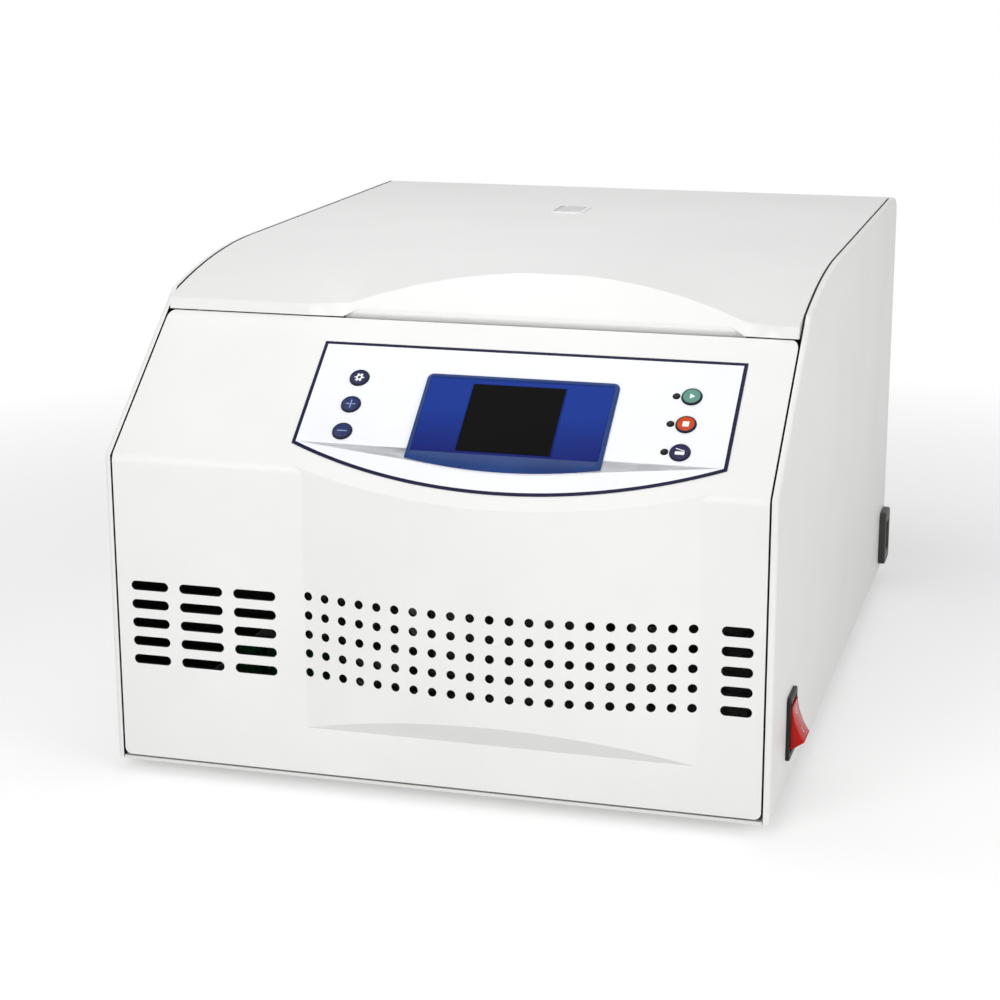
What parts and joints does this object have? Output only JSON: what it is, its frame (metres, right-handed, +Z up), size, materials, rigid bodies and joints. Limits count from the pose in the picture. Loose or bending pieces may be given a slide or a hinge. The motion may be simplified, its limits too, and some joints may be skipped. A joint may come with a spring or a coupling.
{
  "type": "milk fat testing centrifuge",
  "caption": "Benchtop centrifuge for milk fat tests: sloped key panel, hinged lid over a steel bowl, swing-out rotor with bored buckets, vented front.",
  "frame": {"origin": "on the bench, under the middle of the whole object", "axes": "+X to the right and +Y to the back, as seen from the keys, +Z up"},
  "size_m": [0.4424, 0.6008, 0.319],
  "materials": {
    "white_enamel": "smooth warm white powder coat",
    "white_moulding": "white moulded ABS, satin gloss",
    "overlay_film": "printed polyester film, faint blue white",
    "blue_bezel": "dark blue gloss moulding",
    "screen_glass": "black display glass",
    "circuit_board": "green solder mask",
    "key_navy": "dark navy key",
    "key_green": "grey green key",
    "key_orange": "orange red key",
    "led_black": "unlit status lens",
    "stainless": "brushed stainless steel",
    "zinc_steel": "zinc plated steel",
    "guard_steel": "dark primer on steel",
    "black_rubber": "black rubber",
    "grey_rubber": "grey silicone rubber",
    "cast_aluminium": "bead blasted aluminium",
    "black_moulding": "black moulded nylon",
    "red_rocker": "red moulded polycarbonate",
    "clear_pane": "clear polycarbonate",
    "core_steel": "varnished lamination stack",
    "copper_winding": "varnished copper wire",
    "brass_pins": "nickel plated brass"
  },
  "bodies": {
    "case": {"base_plate": "white_enamel", "left_side_cover": "white_moulding", "right_side_cover": "white_moulding", "rear_panel": "white_enamel", "front_panel": "white_moulding", "deck_plate": "white_enamel", "key_overlay": "overlay_film", "display_bezel": "blue_bezel", "display_screen": "screen_glass", "control_board": "circuit_board", "status_leds": "led_black", "board_standoffs": "zinc_steel", "rotor_bowl": "stainless", "guard_ring": "guard_steel", "bowl_gasket": "grey_rubber", "shaft_boot": "black_rubber", "motor_housing": "cast_aluminium", "motor_top_shield": "cast_aluminium", "stator_core": "core_steel", "stator_windings": "copper_winding", "motor_bearings": "stainless", "motor_bracket": "zinc_steel", "rubber_isolators": "black_rubber", "power_board": "circuit_board", "board_heat_sink": "cast_aluminium", "power_inlet": "black_moulding", "inlet_pins": "brass_pins", "switch_bezel": "black_moulding", "fan_housing": "black_moulding", "lock_bodies": "black_moulding", "hinge_brackets": "zinc_steel", "hinge_pins": "stainless", "feet": "black_rubber", "case_screws": "zinc_steel"},
    "lid": {"lid_shell": "white_moulding", "lid_liner": "white_enamel", "lid_window": "clear_pane", "window_frame": "white_moulding", "lid_strikers": "stainless", "hinge_leaves": "zinc_steel", "lid_screws": "zinc_steel"},
    "rotor": {"motor_shaft": "stainless", "motor_rotor": "core_steel", "rotor_yoke": "cast_aluminium", "rotor_nut": "stainless"},
    "bucket_1": {"bucket_1": "cast_aluminium"},
    "bucket_2": {"bucket_2": "cast_aluminium"},
    "bucket_3": {"bucket_3": "cast_aluminium"},
    "bucket_4": {"bucket_4": "cast_aluminium"},
    "settings_key": {"settings_key": "key_navy"},
    "plus_key": {"plus_key": "key_navy"},
    "minus_key": {"minus_key": "key_navy"},
    "start_key": {"start_key": "key_green"},
    "stop_key": {"stop_key": "key_orange"},
    "lid_key": {"lid_key": "key_navy"},
    "power_rocker": {"power_rocker": "red_rocker"},
    "fan_impeller": {"fan_impeller": "black_moulding"},
    "lock_bolt_left": {"lock_bolt_left": "stainless"},
    "lock_bolt_right": {"lock_bolt_right": "stainless"}
  },
  "joints": [
    {"name": "lid_hinge", "type": "hinge", "parent": "case", "child": "lid", "pos_m": [-0.0057, 0.2841, 0.3065], "axis": [-1, 0, 0], "range_deg": [0, 75]},
    {"name": "rotor_spin", "type": "hinge", "parent": "case", "child": "rotor", "pos_m": [-0.0057, 0.0426, 0.225], "axis": [0, 0, 1], "continuous": true},
    {"name": "fan_spin", "type": "hinge", "parent": "case", "child": "fan_impeller", "pos_m": [0.1093, 0.2716, 0.07], "axis": [0, 1, 0], "continuous": true},
    {"name": "power_rocker_tilt", "type": "hinge", "parent": "case", "child": "power_rocker", "pos_m": [0.2087, -0.2134, 0.0494], "axis": [0, 1, 0], "range_deg": [0, 40]},
    {"name": "lock_bolt_left_slide", "type": "slide", "parent": "case", "child": "lock_bolt_left", "axis": [-1, 0, 0], "range_m": [0, 0.009]},
    {"name": "lock_bolt_right_slide", "type": "slide", "parent": "case", "child": "lock_bolt_right", "axis": [1, 0, 0], "range_m": [0, 0.009]},
    {"name": "bucket_1_swing", "type": "hinge", "parent": "rotor", "child": "bucket_1", "pos_m": [-0.0057, 0.1346, 0.225], "axis": [1, 0, 0], "range_deg": [0, 90]},
    {"name": "bucket_2_swing", "type": "hinge", "parent": "rotor", "child": "bucket_2", "pos_m": [-0.0977, 0.0426, 0.225], "axis": [0, 1, 0], "range_deg": [0, 90]},
    {"name": "bucket_3_swing", "type": "hinge", "parent": "rotor", "child": "bucket_3", "pos_m": [-0.0057, -0.0494, 0.225], "axis": [-1, 0, 0], "range_deg": [0, 90]},
    {"name": "bucket_4_swing", "type": "hinge", "parent": "rotor", "child": "bucket_4", "pos_m": [0.0863, 0.0426, 0.225], "axis": [0, -1, 0], "range_deg": [0, 90]},
    {"name": "settings_key_press", "type": "slide", "parent": "case", "child": "settings_key", "axis": [0, 0.6157, -0.788], "range_m": [0, 0.0008], "stiffness_N_per_m": 1500, "springref_m": -0.0002},
    {"name": "plus_key_press", "type": "slide", "parent": "case", "child": "plus_key", "axis": [0, 0.6157, -0.788], "range_m": [0, 0.0008], "stiffness_N_per_m": 1500, "springref_m": -0.0002},
    {"name": "minus_key_press", "type": "slide", "parent": "case", "child": "minus_key", "axis": [0, 0.6157, -0.788], "range_m": [0, 0.0008], "stiffness_N_per_m": 1500, "springref_m": -0.0002},
    {"name": "start_key_press", "type": "slide", "parent": "case", "child": "start_key", "axis": [0, 0.6157, -0.788], "range_m": [0, 0.0008], "stiffness_N_per_m": 1500, "springref_m": -0.0002},
    {"name": "stop_key_press", "type": "slide", "parent": "case", "child": "stop_key", "axis": [0, 0.6157, -0.788], "range_m": [0, 0.0008], "stiffness_N_per_m": 1500, "springref_m": -0.0002},
    {"name": "lid_key_press", "type": "slide", "parent": "case", "child": "lid_key", "axis": [0, 0.6157, -0.788], "range_m": [0, 0.0008], "stiffness_N_per_m": 1500, "springref_m": -0.0002}
  ],
  "couplings": [
    {"joint": "lock_bolt_right_slide", "follows": "lock_bolt_left_slide", "ratio": 1}
  ]
}
